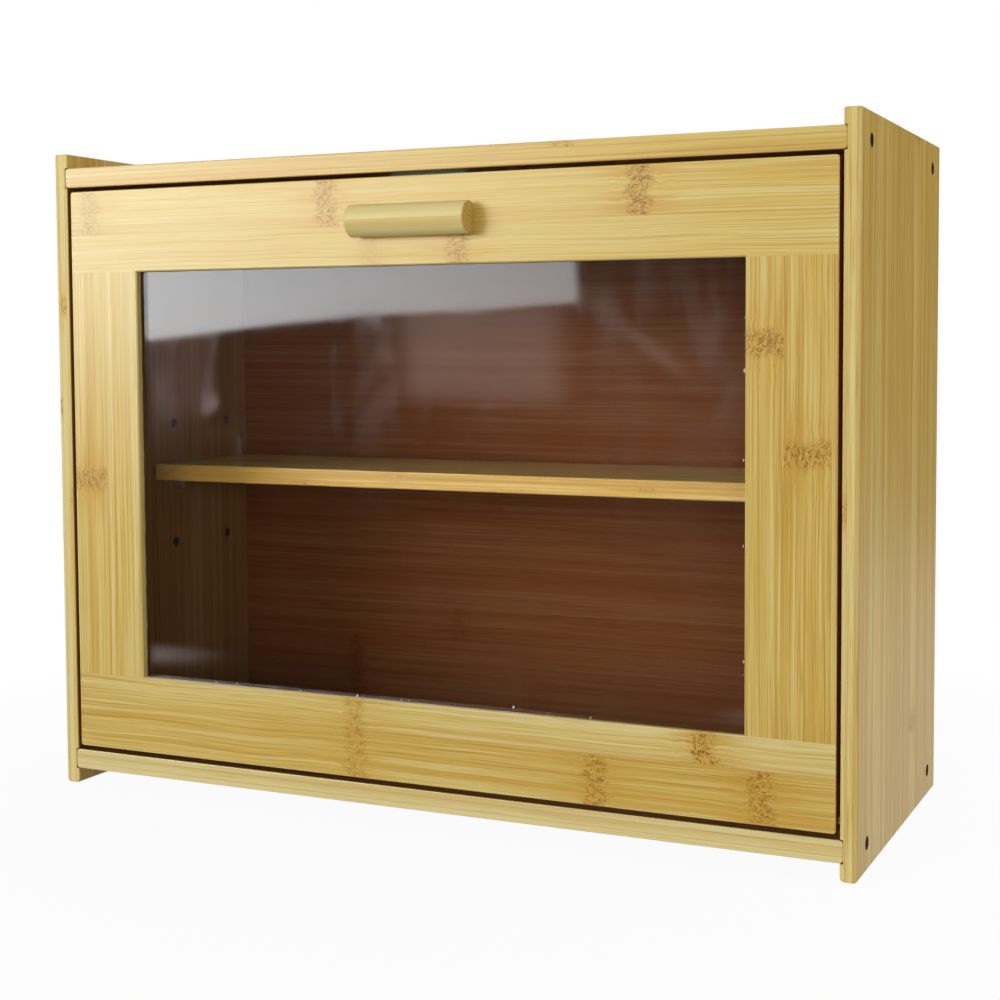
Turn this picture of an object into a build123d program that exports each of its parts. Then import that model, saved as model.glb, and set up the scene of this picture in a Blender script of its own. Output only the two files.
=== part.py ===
from build123d import *
from typing import NamedTuple
import math
import os

# Two-tier bamboo bread bin. A drop-down door with a clear window turns on two pins near its
# lower edge and is held shut by a magnetic catch under the top panel. A loose shelf rests on
# four pegs. Millimetres, +X to the right, +Y to the back, +Z up. The origin is on the surface
# that the bin stands on, at the middle of the overall box, handle included.

# Overall size
WIDTH = 400.0  # across the outer faces of the side panels
DEPTH = 159.0  # front edge to back edge of the side panels
HEIGHT = 311.5  # feet to the upper ends of the side panels

# Cabinet boards
SIDE_T = 7.4  # thickness of a side panel
PANEL_T = 9.8  # thickness of the top and bottom panels
TOP_RECESS = 6.9  # the side panels stand this far above the top panel
FOOT_HEIGHT = 7.5  # the side panels reach this far below the bottom panel
HOUSING_DEPTH = 1.5  # groove in a side panel that takes the end of a panel
HOUSING_CLEAR = 0.1  # above and below a panel's end in its groove
BACK_T = 4.0  # thickness of the back panel
BACK_GROOVE = 4.0  # depth of the groove that holds the back panel all round
BACK_INSET = 5.0  # rear face of the back panel to the rear edges of the boards
BACK_FACE_CLEAR = 0.1  # each side of the back panel in its groove
BACK_EDGE_CLEAR = 0.5  # past each edge of the back panel in its groove
BLIND_WALL = 2.4  # wood left behind a blind hole in a side panel

# Softened edges
FOOT_ROUND = 1.8  # lower ends of the side panels
END_ROUND = 1.8  # ends of the top and bottom panels
DOOR_CORNER = 1.5  # outer corners of the door
ARRIS = 0.7  # all other visible edges

# Shelf and its pegs
SHELF_T = 8.5  # thickness
SHELF_TOP = 155.2  # upper face above the feet
SHELF_SETBACK = 65.0  # front edge of the shelf behind the front of the bin
SHELF_SIDE_GAP = 1.0  # at each end of the shelf
SHELF_BACK_GAP = 1.0  # between the shelf and the back panel
SHELF_SEAT_GAP = 0.3  # between the shelf and its pegs
PEG_D = 5.0  # diameter of a shelf peg
PEG_REACH = 8.0  # how far a peg stands out of the side panel
PEG_INSET = 18.0  # peg axis inside the shelf's front and back edges
PEG_PITCH = 32.0  # height between the rows of peg holes
PEG_ROWS = (-1, 0, 1)  # rows of holes, counted from the row in use
PEG_ROUND = 0.8  # rounded tip of a peg
FIT = 0.05  # radial clearance of a peg, dowel or thread in its hole
HOLE_END_CLEAR = 0.5  # between the end of a pin and the bottom of its hole

# Door frame
DOOR_SIDE_GAP = 1.5  # between the door and each side panel
DOOR_TOP_GAP = 1.7  # between the door and the top panel
DOOR_BOTTOM_GAP = 2.0  # between the door and the bottom panel
TOP_RAIL_H = 39.6  # height of the upper rail
BOTTOM_RAIL_H = 36.9  # height of the lower rail
STILE_W = 38.8  # width of a stile
WINDOW_ARRIS = 0.6  # softened front edge of the window opening
DOWEL_D = 5.0  # diameter of a frame dowel
DOWEL_REACH = 14.0  # how far a dowel goes into each of its two pieces
DOWEL_EDGE = 10.0  # dowel axis inside each edge of the stile
DOWEL_ROUND = 0.6  # rounded ends of a dowel

# Window
REVEAL = 3.2  # front of the door to the front of the pane
PANE_T = 2.5  # thickness of the pane
BEAD_SPACE = 4.3  # back of the pane to the back of the door
REBATE_W = 5.0  # the recess for the pane is this much wider than the window
PANE_EDGE_CLEAR = 0.5  # between the pane's edge and the wall of its recess
BEAD_W = 3.2  # width of the glue bead on the back of the pane
BEAD_RECESS = 1.9  # the bead stops this far inside the back of the door
BEAD_SLOPE = 1.6  # bevel along the inner edge of the bead

# Door hinge
HINGE_D = 4.0  # diameter of a hinge pin
HINGE_RISE = 4.8  # hinge axis above the lower edge of the door
HINGE_GRIP = 12.5  # length of pin held in the lower rail
HINGE_RUN = 0.08  # radial running clearance in the side panel
HINGE_ROUND = 0.5  # rounded ends of a hinge pin

# Handle
HANDLE_D = 14.6  # diameter of the bar
HANDLE_L = 59.0  # length of the bar
HANDLE_OUT = 12.2  # how far it stands out of the door, less than its diameter
HANDLE_ARRIS = 0.6  # softened end edges
HANDLE_SCREW_SPAN = 32.0  # between the two screws

# Magnetic catch, and the plate that it pulls
CATCH_L = 39.0  # overall length of the case
CATCH_BLOCK_L = 24.0  # length of its middle block
CATCH_DEPTH = 14.0  # front to back
CATCH_ROOF = 4.0  # plastic above the upper pole plate
CATCH_WALL = 2.4  # plastic below the lower pole plate
CATCH_SIDE_WALL = 1.4  # plastic at each end of the magnet and behind it
CATCH_EAR_T = 3.0  # thickness of the screw ears
CATCH_EAR_ROUND = 2.0  # rounded corners of the ears
CATCH_PLAY = 0.1  # clearance round the magnet and the pole plates
POLE_T = 1.2  # thickness of a pole plate
POLE_OUT = 0.9  # how far the pole plates stand out of the case
MAGNET_T = 5.0  # height of the magnet
MAGNET_SHORT = 0.5  # the magnet stops this far inside the edges of the pole plates
CATCH_SLOT_PLAY = 1.6  # how far a slot lets the case slide on its screw, each way
STRIKE_L = 39.0  # length of the strike plate
STRIKE_H = 10.0  # height of the strike plate
STRIKE_T = 1.0  # thickness of the strike plate
STRIKE_ROUND = 1.5  # rounded corners of the strike plate
STRIKE_GAP = 0.3  # strike plate to the pole plates with the door shut
STRIKE_SCREW_INSET = 4.0  # strike screw inside each end of the plate


class ScrewSize(NamedTuple):
    """A wood screw: its head's diameter and height, its thread and its length under the head."""

    head_d: float
    head_t: float
    thread_d: float
    length: float


# Screws
PANEL_SCREW = ScrewSize(head_d=5.6, head_t=2.6, thread_d=4.0, length=36.0)
HANDLE_SCREW = ScrewSize(head_d=7.0, head_t=2.0, thread_d=3.5, length=13.5)
CATCH_SCREW = ScrewSize(head_d=6.0, head_t=1.8, thread_d=3.0, length=10.5)
STRIKE_SCREW = ScrewSize(head_d=5.2, head_t=1.5, thread_d=2.8, length=5.0)
PANEL_SCREW_FRONT = 16.5  # panel screws behind the front edge of the side panel
PANEL_SCREW_BACK = 17.0  # panel screws inside its back edge
SCREW_RECESS = 0.8  # heads lie this far below the surface
HEAD_CLEAR = 0.2  # round a screw head in its recess
THREAD_PITCH = 2.0  # spacing of the thread ridges
THREAD_DEPTH = 0.25  # root depth of the thread, as a share of its diameter
NECK = 0.8  # plain neck under a screw head
DRIVE_SIZE = 0.45  # across a screw's drive recess, as a share of its head
DRIVE_SLOT = 0.22  # width of a cross drive's slots, as a share of its length
DRIVE_DEPTH = 0.6  # depth of the drive recess, as a share of the head's height

# Places worked out from the sizes above
FRONT = HANDLE_OUT - (DEPTH + HANDLE_OUT) / 2  # plane of the door's face
BACK = FRONT + DEPTH
INNER_X = WIDTH / 2 - SIDE_T  # inner face of the right side panel
TOP_Z = HEIGHT - TOP_RECESS  # upper face of the top panel
CEILING = TOP_Z - PANEL_T  # lower face of the top panel
FLOOR = FOOT_HEIGHT + PANEL_T  # upper face of the bottom panel
BACK_REAR = BACK - BACK_INSET
BACK_FACE = BACK_REAR - BACK_T
BLIND_DEPTH = SIDE_T - BLIND_WALL

DOOR_T = REVEAL + PANE_T + BEAD_SPACE
DOOR_X = INNER_X - DOOR_SIDE_GAP  # right edge of the door
DOOR_LOW = FLOOR + DOOR_BOTTOM_GAP
DOOR_TOP = CEILING - DOOR_TOP_GAP
DOOR_REAR = FRONT + DOOR_T
WINDOW_X = DOOR_X - STILE_W  # right edge of the window opening
WINDOW_LOW = DOOR_LOW + BOTTOM_RAIL_H
WINDOW_TOP = DOOR_TOP - TOP_RAIL_H

HINGE_Y = FRONT + DOOR_T / 2
HINGE_Z = DOOR_LOW + HINGE_RISE
HANDLE_Z = DOOR_TOP - TOP_RAIL_H / 2

SHELF_X = INNER_X - SHELF_SIDE_GAP
SHELF_FRONT = FRONT + SHELF_SETBACK
SHELF_REAR = BACK_FACE - SHELF_BACK_GAP
PEG_Y = (SHELF_FRONT + PEG_INSET, SHELF_REAR - PEG_INSET)
PEG_Z = SHELF_TOP - SHELF_T - SHELF_SEAT_GAP - PEG_D / 2

POLE_Y = DOOR_REAR + STRIKE_T + STRIKE_GAP  # tips of the pole plates
CATCH_Y = POLE_Y + POLE_OUT  # front of the case
STACK_TOP = CEILING - CATCH_ROOF - CATCH_PLAY  # upper face of the upper pole plate
STACK_LOW = STACK_TOP - 2 * POLE_T - MAGNET_T
CATCH_LOW = STACK_LOW - CATCH_PLAY - CATCH_WALL
POLE_X = CATCH_BLOCK_L / 2 - CATCH_SIDE_WALL - CATCH_PLAY
POLE_REAR = CATCH_Y + CATCH_DEPTH - CATCH_SIDE_WALL - CATCH_PLAY
EAR_X = (CATCH_L + CATCH_BLOCK_L) / 4  # middle of an ear
EAR_Y = CATCH_Y + CATCH_DEPTH / 2
STRIKE_Z = (STACK_TOP + STACK_LOW) / 2
STRIKE_X = STRIKE_L / 2 - STRIKE_SCREW_INSET

FACING = Plane(origin=(0, FRONT, 0), x_dir=(1, 0, 0), z_dir=(0, -1, 0))
LOW = (Align.CENTER, Align.CENTER, Align.MIN)


def block(x0, x1, y0, y1, z0, z1):
    """A block between two opposite corners."""
    size = (x1 - x0, y1 - y0, z1 - z0)
    return Pos((x0 + x1) / 2, (y0 + y1) / 2, (z0 + z1) / 2) * Box(*size)


def rod(radius, start, end, rounding=0.0):
    """A round bar from one point to another, with rounded rims if asked."""
    along = Vector(*end) - Vector(*start)
    bar = Cylinder(radius, along.length, align=LOW)
    if rounding:
        bar = fillet(bar.edges().filter_by(GeomType.CIRCLE), rounding)
    return Plane(origin=start, z_dir=along) * bar


def soften(board, axis, radius=ARRIS):
    """Rounds the rims of a board's two end faces along an axis."""
    faces = board.faces().filter_by(axis).sort_by(axis)
    return fillet(faces[0].edges() + faces[-1].edges(), radius)


def mirrored(right):
    """The left-hand copy of a right-hand piece."""
    return mirror(right, about=Plane.YZ)


# Screws


def screw_body(size, countersunk=False):
    """A ridged wood screw that hangs from the top of its head at the origin."""
    under = -size.head_t
    crest = size.thread_d / 2
    root = crest - size.thread_d * THREAD_DEPTH
    rim = [(0, 0), (size.head_d / 2, 0)]
    if not countersunk:
        rim.append((size.head_d / 2, under))
    outline = rim + [(crest, under), (crest, under - NECK)]
    ridges = int((size.length - NECK - size.thread_d) / THREAD_PITCH)
    for turn in range(ridges):
        start = under - NECK - turn * THREAD_PITCH
        outline.append((root, start - THREAD_PITCH / 3))
        outline.append((crest, start - THREAD_PITCH))
    outline.append((0, under - size.length))
    profile = make_face(Plane.XZ * Polyline(*outline, close=True))
    return revolve(profile, axis=Axis.Z)


def hex_screw(size):
    """A screw with a six-sided drive recess."""
    corner = size.head_d * DRIVE_SIZE / math.sqrt(3)
    recess = extrude(RegularPolygon(corner, 6), -size.head_t * DRIVE_DEPTH)
    return screw_body(size) - recess


def cross_screw(size, countersunk=False):
    """A screw with a cross drive recess."""
    reach = size.head_d * DRIVE_SIZE
    slot = reach * DRIVE_SLOT
    drive = Rectangle(reach, slot) + Rectangle(slot, reach)
    recess = extrude(drive, -size.head_t * DRIVE_DEPTH)
    return screw_body(size, countersunk) - recess


def screw_hole(size, recess=0.0):
    """The hole for a screw: a counterbore that sinks its head, then a thread hole."""
    sink = Cylinder(size.head_d / 2 + HEAD_CLEAR, 2 * (recess + size.head_t))
    deep = recess + size.head_t + size.length + HOLE_END_CLEAR
    return sink + Pos(0, 0, -deep / 2) * Cylinder(size.thread_d / 2 + FIT, deep)


def panel_screw_planes():
    """Where the right-hand panel screws enter: on the outer face, facing out."""
    heights = (FOOT_HEIGHT + PANEL_T / 2, TOP_Z - PANEL_T / 2)
    depths = (FRONT + PANEL_SCREW_FRONT, BACK - PANEL_SCREW_BACK)
    return [
        Plane(origin=(WIDTH / 2, y, z), x_dir=(0, 1, 0), z_dir=(1, 0, 0))
        for z in heights
        for y in depths
    ]


def handle_screw_planes():
    """Where the handle screws enter: on the back of the door, facing back."""
    return [
        Plane(origin=(side * HANDLE_SCREW_SPAN / 2, DOOR_REAR, HANDLE_Z), z_dir=(0, 1, 0))
        for side in (-1, 1)
    ]


def strike_screw_planes():
    """Where the strike screws enter: on the back of the strike plate."""
    back = DOOR_REAR + STRIKE_T
    return [
        Plane(origin=(side * STRIKE_X, back, STRIKE_Z), z_dir=(0, 1, 0)) for side in (-1, 1)
    ]


def catch_screw_planes():
    """Where the heads of the catch screws lie: below the ears, facing down."""
    under = CEILING - CATCH_EAR_T - CATCH_SCREW.head_t
    return [Plane(origin=(side * EAR_X, EAR_Y, under), z_dir=(0, 0, -1)) for side in (-1, 1)]


# Cabinet


def peg_places(rows):
    """Centres of the peg holes on the right side panel's inner face."""
    return [(INNER_X, y, PEG_Z + row * PEG_PITCH) for y in PEG_Y for row in rows]


def right_side_panel():
    """The right side panel: a board grooved for the panels, drilled for pins and screws."""
    outline = FACING * Pos(WIDTH / 2 - SIDE_T / 2, HEIGHT / 2) * Rectangle(SIDE_T, HEIGHT)
    outline = fillet(outline.vertices().sort_by(Axis.Z)[:2], FOOT_ROUND)
    outline = fillet(outline.vertices().sort_by(Axis.Z)[-2:], ARRIS)
    board = soften(extrude(outline, -DEPTH), Axis.Y)

    deep = INNER_X + HOUSING_DEPTH
    for low in (FOOT_HEIGHT, CEILING):
        z0 = low - HOUSING_CLEAR
        z1 = low + PANEL_T + HOUSING_CLEAR
        board -= block(INNER_X - 1, deep, FRONT - 1, BACK + 1, z0, z1)

    y0 = BACK_FACE - BACK_FACE_CLEAR
    y1 = BACK_REAR + BACK_FACE_CLEAR
    reach = BACK_GROOVE
    board -= block(INNER_X - 1, INNER_X + reach, y0, y1, FLOOR - reach, CEILING + reach)

    for x, y, z in peg_places(PEG_ROWS):
        board -= rod(PEG_D / 2 + FIT, (x - 1, y, z), (x + BLIND_DEPTH, y, z))
    hinge = (INNER_X + BLIND_DEPTH, HINGE_Y, HINGE_Z)
    board -= rod(HINGE_D / 2 + HINGE_RUN, (INNER_X - 1, HINGE_Y, HINGE_Z), hinge)
    for plane in panel_screw_planes():
        board -= plane * screw_hole(PANEL_SCREW, SCREW_RECESS)
    return board


def panel(low, groove_low):
    """A top or bottom panel, grooved for the back panel and drilled at both ends."""
    length = 2 * (INNER_X + HOUSING_DEPTH)
    shape = Pos(0, low + PANEL_T / 2) * RectangleRounded(length, PANEL_T, END_ROUND)
    board = soften(extrude(FACING * shape, -DEPTH), Axis.Y)
    y0 = BACK_FACE - BACK_FACE_CLEAR
    y1 = BACK_REAR + BACK_FACE_CLEAR
    board -= block(-length, length, y0, y1, groove_low, groove_low + BACK_GROOVE)
    for plane in panel_screw_planes():
        hole = plane * screw_hole(PANEL_SCREW, SCREW_RECESS)
        board = board - hole - mirrored(hole)
    return board


def bottom_panel():
    """The bottom panel, plain apart from its groove and end holes."""
    return panel(FOOT_HEIGHT, FLOOR - BACK_GROOVE)


def top_panel():
    """The top panel, also drilled for the screws of the catch."""
    board = panel(CEILING, CEILING)
    for plane in catch_screw_planes():
        board -= plane * screw_hole(CATCH_SCREW)
    return board


def back_panel():
    """The thin back, loose in its groove all round."""
    reach = BACK_GROOVE - BACK_EDGE_CLEAR
    x = INNER_X + reach
    return block(-x, x, BACK_FACE, BACK_REAR, FLOOR - reach, CEILING + reach)


def panel_screws():
    """The four screws through the right side panel."""
    sunk = Pos(0, 0, -SCREW_RECESS) * hex_screw(PANEL_SCREW)
    return [plane * sunk for plane in panel_screw_planes()]


def shelf_pegs():
    """The four pegs under the shelf."""
    right = [
        rod(
            PEG_D / 2,
            (x - PEG_REACH, y, z),
            (x + BLIND_DEPTH - HOLE_END_CLEAR, y, z),
            PEG_ROUND,
        )
        for x, y, z in peg_places((0,))
    ]
    return right + [mirrored(peg) for peg in right]


def shelf():
    board = block(-SHELF_X, SHELF_X, SHELF_FRONT, SHELF_REAR, SHELF_TOP - SHELF_T, SHELF_TOP)
    return fillet(board.edges().filter_by(Axis.X), ARRIS)


# Door


def window_cutter():
    """What the router takes from the frame: the softened front edge and the pane's recess."""
    wide = 2 * WINDOW_X
    tall = WINDOW_TOP - WINDOW_LOW
    middle = Pos(0, (WINDOW_TOP + WINDOW_LOW) / 2)
    rim = FACING * middle * Rectangle(wide + 2 * WINDOW_ARRIS, tall + 2 * WINDOW_ARRIS)
    bevel = extrude(rim, -WINDOW_ARRIS, taper=45)
    recess_x = WINDOW_X + REBATE_W
    recess_low = WINDOW_LOW - REBATE_W
    recess_top = WINDOW_TOP + REBATE_W
    rebate = block(
        -recess_x, recess_x, FRONT + REVEAL, DOOR_REAR + 1, recess_low, recess_top
    )
    return bevel + rebate


def dowel_rods(radius, reach, rounding=0.0):
    """A round bar along each of the four dowel axes of the right stile."""
    y = FRONT + DOOR_T / 2
    return [
        rod(radius, (x, y, z - reach), (x, y, z + reach), rounding)
        for x in (WINDOW_X + DOWEL_EDGE, DOOR_X - DOWEL_EDGE)
        for z in (WINDOW_LOW, WINDOW_TOP)
    ]


def dowel_holes():
    right = dowel_rods(DOWEL_D / 2 + FIT, DOWEL_REACH + HOLE_END_CLEAR)
    return right + [mirrored(hole) for hole in right]


def door_dowels():
    right = dowel_rods(DOWEL_D / 2, DOWEL_REACH, DOWEL_ROUND)
    return right + [mirrored(dowel) for dowel in right]


def rail(low, top, outer):
    """A full-width rail of the door, softened along its outer edge and both ends."""
    board = block(-DOOR_X, DOOR_X, FRONT, DOOR_REAR, low, top)
    corners = board.edges().filter_by(Axis.Y)
    corners = [edge for edge in corners if abs(edge.center().Z - outer) < ARRIS]
    board = fillet(corners, DOOR_CORNER)
    faces = board.faces().filter_by(Axis.Y)
    inner = top if outer == low else low
    rims = [edge for edge in faces.edges() if abs(edge.center().Z - inner) > ARRIS / 2]
    board = fillet(rims, ARRIS)
    board -= window_cutter()
    for hole in dowel_holes():
        board -= hole
    return board


def door_top_rail():
    """The upper rail, drilled for the handle screws and the strike plate's screws."""
    board = rail(WINDOW_TOP, DOOR_TOP, DOOR_TOP)
    for plane in handle_screw_planes():
        board -= plane * screw_hole(HANDLE_SCREW, SCREW_RECESS)
    for plane in strike_screw_planes():
        board -= plane * strike_hole()
    return board


def hinge_pin(radius, rounding, grip, reach):
    """A bar on the hinge axis, from inside the lower rail to past its right end."""
    start = (DOOR_X - grip, HINGE_Y, HINGE_Z)
    return rod(radius, start, (INNER_X + reach, HINGE_Y, HINGE_Z), rounding)


def hinge_pin_right():
    return hinge_pin(HINGE_D / 2, HINGE_ROUND, HINGE_GRIP, BLIND_DEPTH - HOLE_END_CLEAR)


def door_bottom_rail():
    """The lower rail, drilled at both ends for the hinge pins."""
    board = rail(DOOR_LOW, WINDOW_LOW, DOOR_LOW)
    hole = hinge_pin(HINGE_D / 2 + FIT, 0.0, HINGE_GRIP + HOLE_END_CLEAR, 0)
    return board - hole - mirrored(hole)


def door_right_stile():
    """The right stile, which butts between the rails."""
    board = block(WINDOW_X, DOOR_X, FRONT, DOOR_REAR, WINDOW_LOW, WINDOW_TOP)
    outer = [edge for edge in board.edges().filter_by(Axis.Z) if edge.center().X > WINDOW_X + 1]
    board = fillet(outer, ARRIS) - window_cutter()
    for hole in dowel_holes():
        board -= hole
    return board


def window_pane():
    reach = REBATE_W - PANE_EDGE_CLEAR
    x = WINDOW_X + reach
    y0 = FRONT + REVEAL
    return block(-x, x, y0, y0 + PANE_T, WINDOW_LOW - reach, WINDOW_TOP + reach)


def pane_glue_bead():
    """The bead of glue round the back of the pane, against the wall of its recess."""
    wide = 2 * (WINDOW_X + REBATE_W)
    tall = WINDOW_TOP - WINDOW_LOW + 2 * REBATE_W
    plane = Plane(origin=(0, FRONT + REVEAL + PANE_T, 0), x_dir=(1, 0, 0), z_dir=(0, -1, 0))
    middle = plane * Pos(0, (WINDOW_TOP + WINDOW_LOW) / 2)
    deep = BEAD_SPACE - BEAD_RECESS
    ring = middle * (Rectangle(wide, tall) - Rectangle(wide - 2 * BEAD_W, tall - 2 * BEAD_W))
    bead = extrude(ring, -deep)
    inner = bead.faces().sort_by(Axis.Y)[-1].inner_wires()[0].edges()
    return chamfer(inner, BEAD_SLOPE)


def handle():
    """The bar handle: a round bar with softened ends and a flat against the door."""
    radius = HANDLE_D / 2
    y = FRONT - HANDLE_OUT + radius
    half = HANDLE_L / 2
    bar = rod(radius, (-half, y, HANDLE_Z), (half, y, HANDLE_Z), HANDLE_ARRIS)
    low = HANDLE_Z - HANDLE_D
    bar -= block(-HANDLE_L, HANDLE_L, FRONT, FRONT + HANDLE_D, low, HANDLE_Z + HANDLE_D)
    for plane in handle_screw_planes():
        bar -= plane * screw_hole(HANDLE_SCREW, SCREW_RECESS)
    return bar


def handle_screws():
    sunk = Pos(0, 0, -SCREW_RECESS) * cross_screw(HANDLE_SCREW)
    return [plane * sunk for plane in handle_screw_planes()]


# Catch


def catch_case():
    """The plastic case: a block with a pocket for the magnet, and two slotted ears."""
    half = CATCH_BLOCK_L / 2
    back = CATCH_Y + CATCH_DEPTH
    case = block(-half, half, CATCH_Y, back, CATCH_LOW, CEILING)
    case = fillet(case.edges().filter_by(Axis.Y).group_by(Axis.Z)[0], ARRIS)
    ears = Pos(0, EAR_Y, CEILING - CATCH_EAR_T / 2) * Box(CATCH_L, CATCH_DEPTH, CATCH_EAR_T)
    case += fillet(ears.edges().filter_by(Axis.Z), CATCH_EAR_ROUND)
    case -= block(
        -POLE_X - CATCH_PLAY,
        POLE_X + CATCH_PLAY,
        CATCH_Y - 1,
        POLE_REAR + CATCH_PLAY,
        STACK_LOW - CATCH_PLAY,
        STACK_TOP + CATCH_PLAY,
    )
    thread_r = CATCH_SCREW.thread_d / 2 + HEAD_CLEAR
    slot = SlotCenterToCenter(2 * CATCH_SLOT_PLAY, 2 * thread_r, rotation=90)
    for side in (-1, 1):
        place = Pos(side * EAR_X, EAR_Y, CEILING + 1)
        case -= place * extrude(slot, -CATCH_EAR_T - 2)
    return case


def catch_pole_plates():
    """The two steel plates that the magnet lies between."""
    return [
        block(-POLE_X, POLE_X, POLE_Y, POLE_REAR, z, z + POLE_T)
        for z in (STACK_LOW, STACK_TOP - POLE_T)
    ]


def catch_magnet():
    x = POLE_X - MAGNET_SHORT
    y0 = CATCH_Y + MAGNET_SHORT
    low = STACK_LOW + POLE_T
    return block(-x, x, y0, POLE_REAR - MAGNET_SHORT, low, low + MAGNET_T)


def catch_screws():
    return [plane * cross_screw(CATCH_SCREW) for plane in catch_screw_planes()]


def strike_hole():
    """A countersunk hole from the back of the strike plate into the door."""
    size = STRIKE_SCREW
    thread_r = size.thread_d / 2 + FIT
    cone = Cone(thread_r, size.head_d / 2 + FIT, size.head_t)
    deep = size.head_t + size.length + HOLE_END_CLEAR
    return Pos(0, 0, -size.head_t / 2) * cone + Pos(0, 0, -deep / 2) * Cylinder(thread_r, deep)


def strike_plate():
    """The steel plate on the back of the door that the catch pulls."""
    plane = Plane(origin=(0, DOOR_REAR, STRIKE_Z), x_dir=(1, 0, 0), z_dir=(0, -1, 0))
    plate = extrude(plane * RectangleRounded(STRIKE_L, STRIKE_H, STRIKE_ROUND), -STRIKE_T)
    for hole in strike_screw_planes():
        plate -= hole * strike_hole()
    return plate


def strike_screws():
    return [plane * cross_screw(STRIKE_SCREW, countersunk=True) for plane in strike_screw_planes()]


def save(name, shape):
    """Writes one piece, or a group of like pieces, under its node's name."""
    solids = shape if isinstance(shape, list) else [shape]
    solids = [solid for piece in solids for solid in piece.solids()]
    whole = solids[0] if len(solids) == 1 else Compound(children=solids)
    export_step(whole, f"parts/{name}.step")


def build():
    """Every piece by its node's name."""
    right_side = right_side_panel()
    right_stile = door_right_stile()
    right_pin = hinge_pin_right()
    right_screws = panel_screws()
    return {
        "left_side_panel": mirrored(right_side),
        "right_side_panel": right_side,
        "top_panel": top_panel(),
        "bottom_panel": bottom_panel(),
        "back_panel": back_panel(),
        "panel_screws_left": [mirrored(screw) for screw in right_screws],
        "panel_screws_right": right_screws,
        "shelf_pegs": shelf_pegs(),
        "shelf": shelf(),
        "door_top_rail": door_top_rail(),
        "door_bottom_rail": door_bottom_rail(),
        "door_left_stile": mirrored(right_stile),
        "door_right_stile": right_stile,
        "door_dowels": door_dowels(),
        "window_pane": window_pane(),
        "pane_glue_bead": pane_glue_bead(),
        "hinge_pin_left": mirrored(right_pin),
        "hinge_pin_right": right_pin,
        "handle": handle(),
        "handle_screws": handle_screws(),
        "catch_case": catch_case(),
        "catch_pole_plates": catch_pole_plates(),
        "catch_magnet": catch_magnet(),
        "catch_screws": catch_screws(),
        "strike_plate": strike_plate(),
        "strike_screws": strike_screws(),
    }


os.makedirs("parts", exist_ok=True)
for name, shape in build().items():
    save(name, shape)
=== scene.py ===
"""Finishes a bamboo bread bin with a glazed drop-down door: wood, clear pane, glue, metal, stage and light."""

import math
import random

import bpy
from mathutils import Matrix, Vector


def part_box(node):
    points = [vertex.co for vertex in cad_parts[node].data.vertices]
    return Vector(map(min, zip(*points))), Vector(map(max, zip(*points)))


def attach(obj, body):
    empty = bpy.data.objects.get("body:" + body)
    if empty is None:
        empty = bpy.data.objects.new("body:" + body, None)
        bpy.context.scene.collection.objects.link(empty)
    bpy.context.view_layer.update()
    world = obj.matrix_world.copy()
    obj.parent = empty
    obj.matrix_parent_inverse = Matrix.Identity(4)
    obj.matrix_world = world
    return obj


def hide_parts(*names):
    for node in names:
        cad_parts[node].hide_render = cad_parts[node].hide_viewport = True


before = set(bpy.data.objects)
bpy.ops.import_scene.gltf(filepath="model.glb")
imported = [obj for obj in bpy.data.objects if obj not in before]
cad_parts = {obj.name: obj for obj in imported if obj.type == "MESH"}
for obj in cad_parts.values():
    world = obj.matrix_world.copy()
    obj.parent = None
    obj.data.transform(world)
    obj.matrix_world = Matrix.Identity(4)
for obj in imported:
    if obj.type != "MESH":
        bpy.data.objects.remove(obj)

bl_info = {
    "name": "Bamboo Bread Bin",
    "version": (1, 0, 0),
    "blender": (4, 5, 0),
    "location": "3D View > Sidebar > Bread Bin",
    "description": "Finishes the packed bread bin and sets up its studio stage",
    "category": "Object",
}

X, Y, Z = 0, 1, 2
MM = 0.001

# One mark of each grain pattern: length along the fibres and width across them, in metres.
STREAK, FIBRE, DASH = (0.330, 0.0034), (0.110, 0.00075), (0.034, 0.00046)
HUE, PLUME = (0.420, 0.0062), (0.045, 0.0013)

# How strongly each pattern moves the wood between its deep (0), gold (0.5) and pale (1) colours.
MIDDLE_TONE = 0.46
STREAK_SWING, FIBRE_SWING, CLOUD_SWING, STRIP_SWING = 1.6, 2.3, 0.5, 0.40

DASH_COLOUR = (0.46, 0.24, 0.030)
GLUE_LINE_COLOUR = (0.34, 0.17, 0.03)
END_GRAIN_COLOUR, END_PORE_COLOUR = (0.66, 0.45, 0.105), (0.42, 0.22, 0.045)
# Near black painted into the walls of the bores as shade in the holes.
BORE_SHADE_COLOUR = (0.05, 0.025, 0.010)
# Painted shade on the door's outer edges, where its gap is in shadow.
LEAF_EDGE_SHADE = (0.45, 0.20, 0.12)

# Share of a face's normal along an axis: above SQUARE it faces that way, above SLANTED more or less, and
# below BESIDE it runs along the axis.
SQUARE, SLANTED, BESIDE = 0.72, 0.6, 0.3
# Middle and half length of the space, clear of the side panels' own edges, where they are bored, in metres.
BORED_Y, BORED_Z = (0.006, 0.074), (0.156, 0.151)
LEAF_EDGE_SKIN = 0.4 * MM

LACQUER_IOR, TINTED_IOR = 1.5, 1.2
COAT, COAT_ROUGHNESS = 0.7, 0.30
DRAW_LINES = (900.0, 60.0, 60.0)  # per metre, of drawn steel
MOULD_GRAIN = 2600.0  # per metre, of plastic
PANE_IOR = 1.49

BEAD_WIDTH = 3.2 * MM
BEAD_FULLNESS = 0.8  # thickness of the flat ring, as a share of the room for the bead
BEAD_CELL = 0.5 * MM
BEAD_LUMP, BEAD_LUMP_HEIGHT, BEAD_LUMP_LEVEL = 6.0 * MM, 0.9 * MM, 0.62
SPECK_SEED = 7
SPECKS_RIGHT, SPECKS_LOWER = 34, 9
SPREAD_RIGHT, SPREAD_LOWER = 1.2 * MM, 0.9 * MM
SPECK_LIFT = 0.1 * MM

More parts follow.
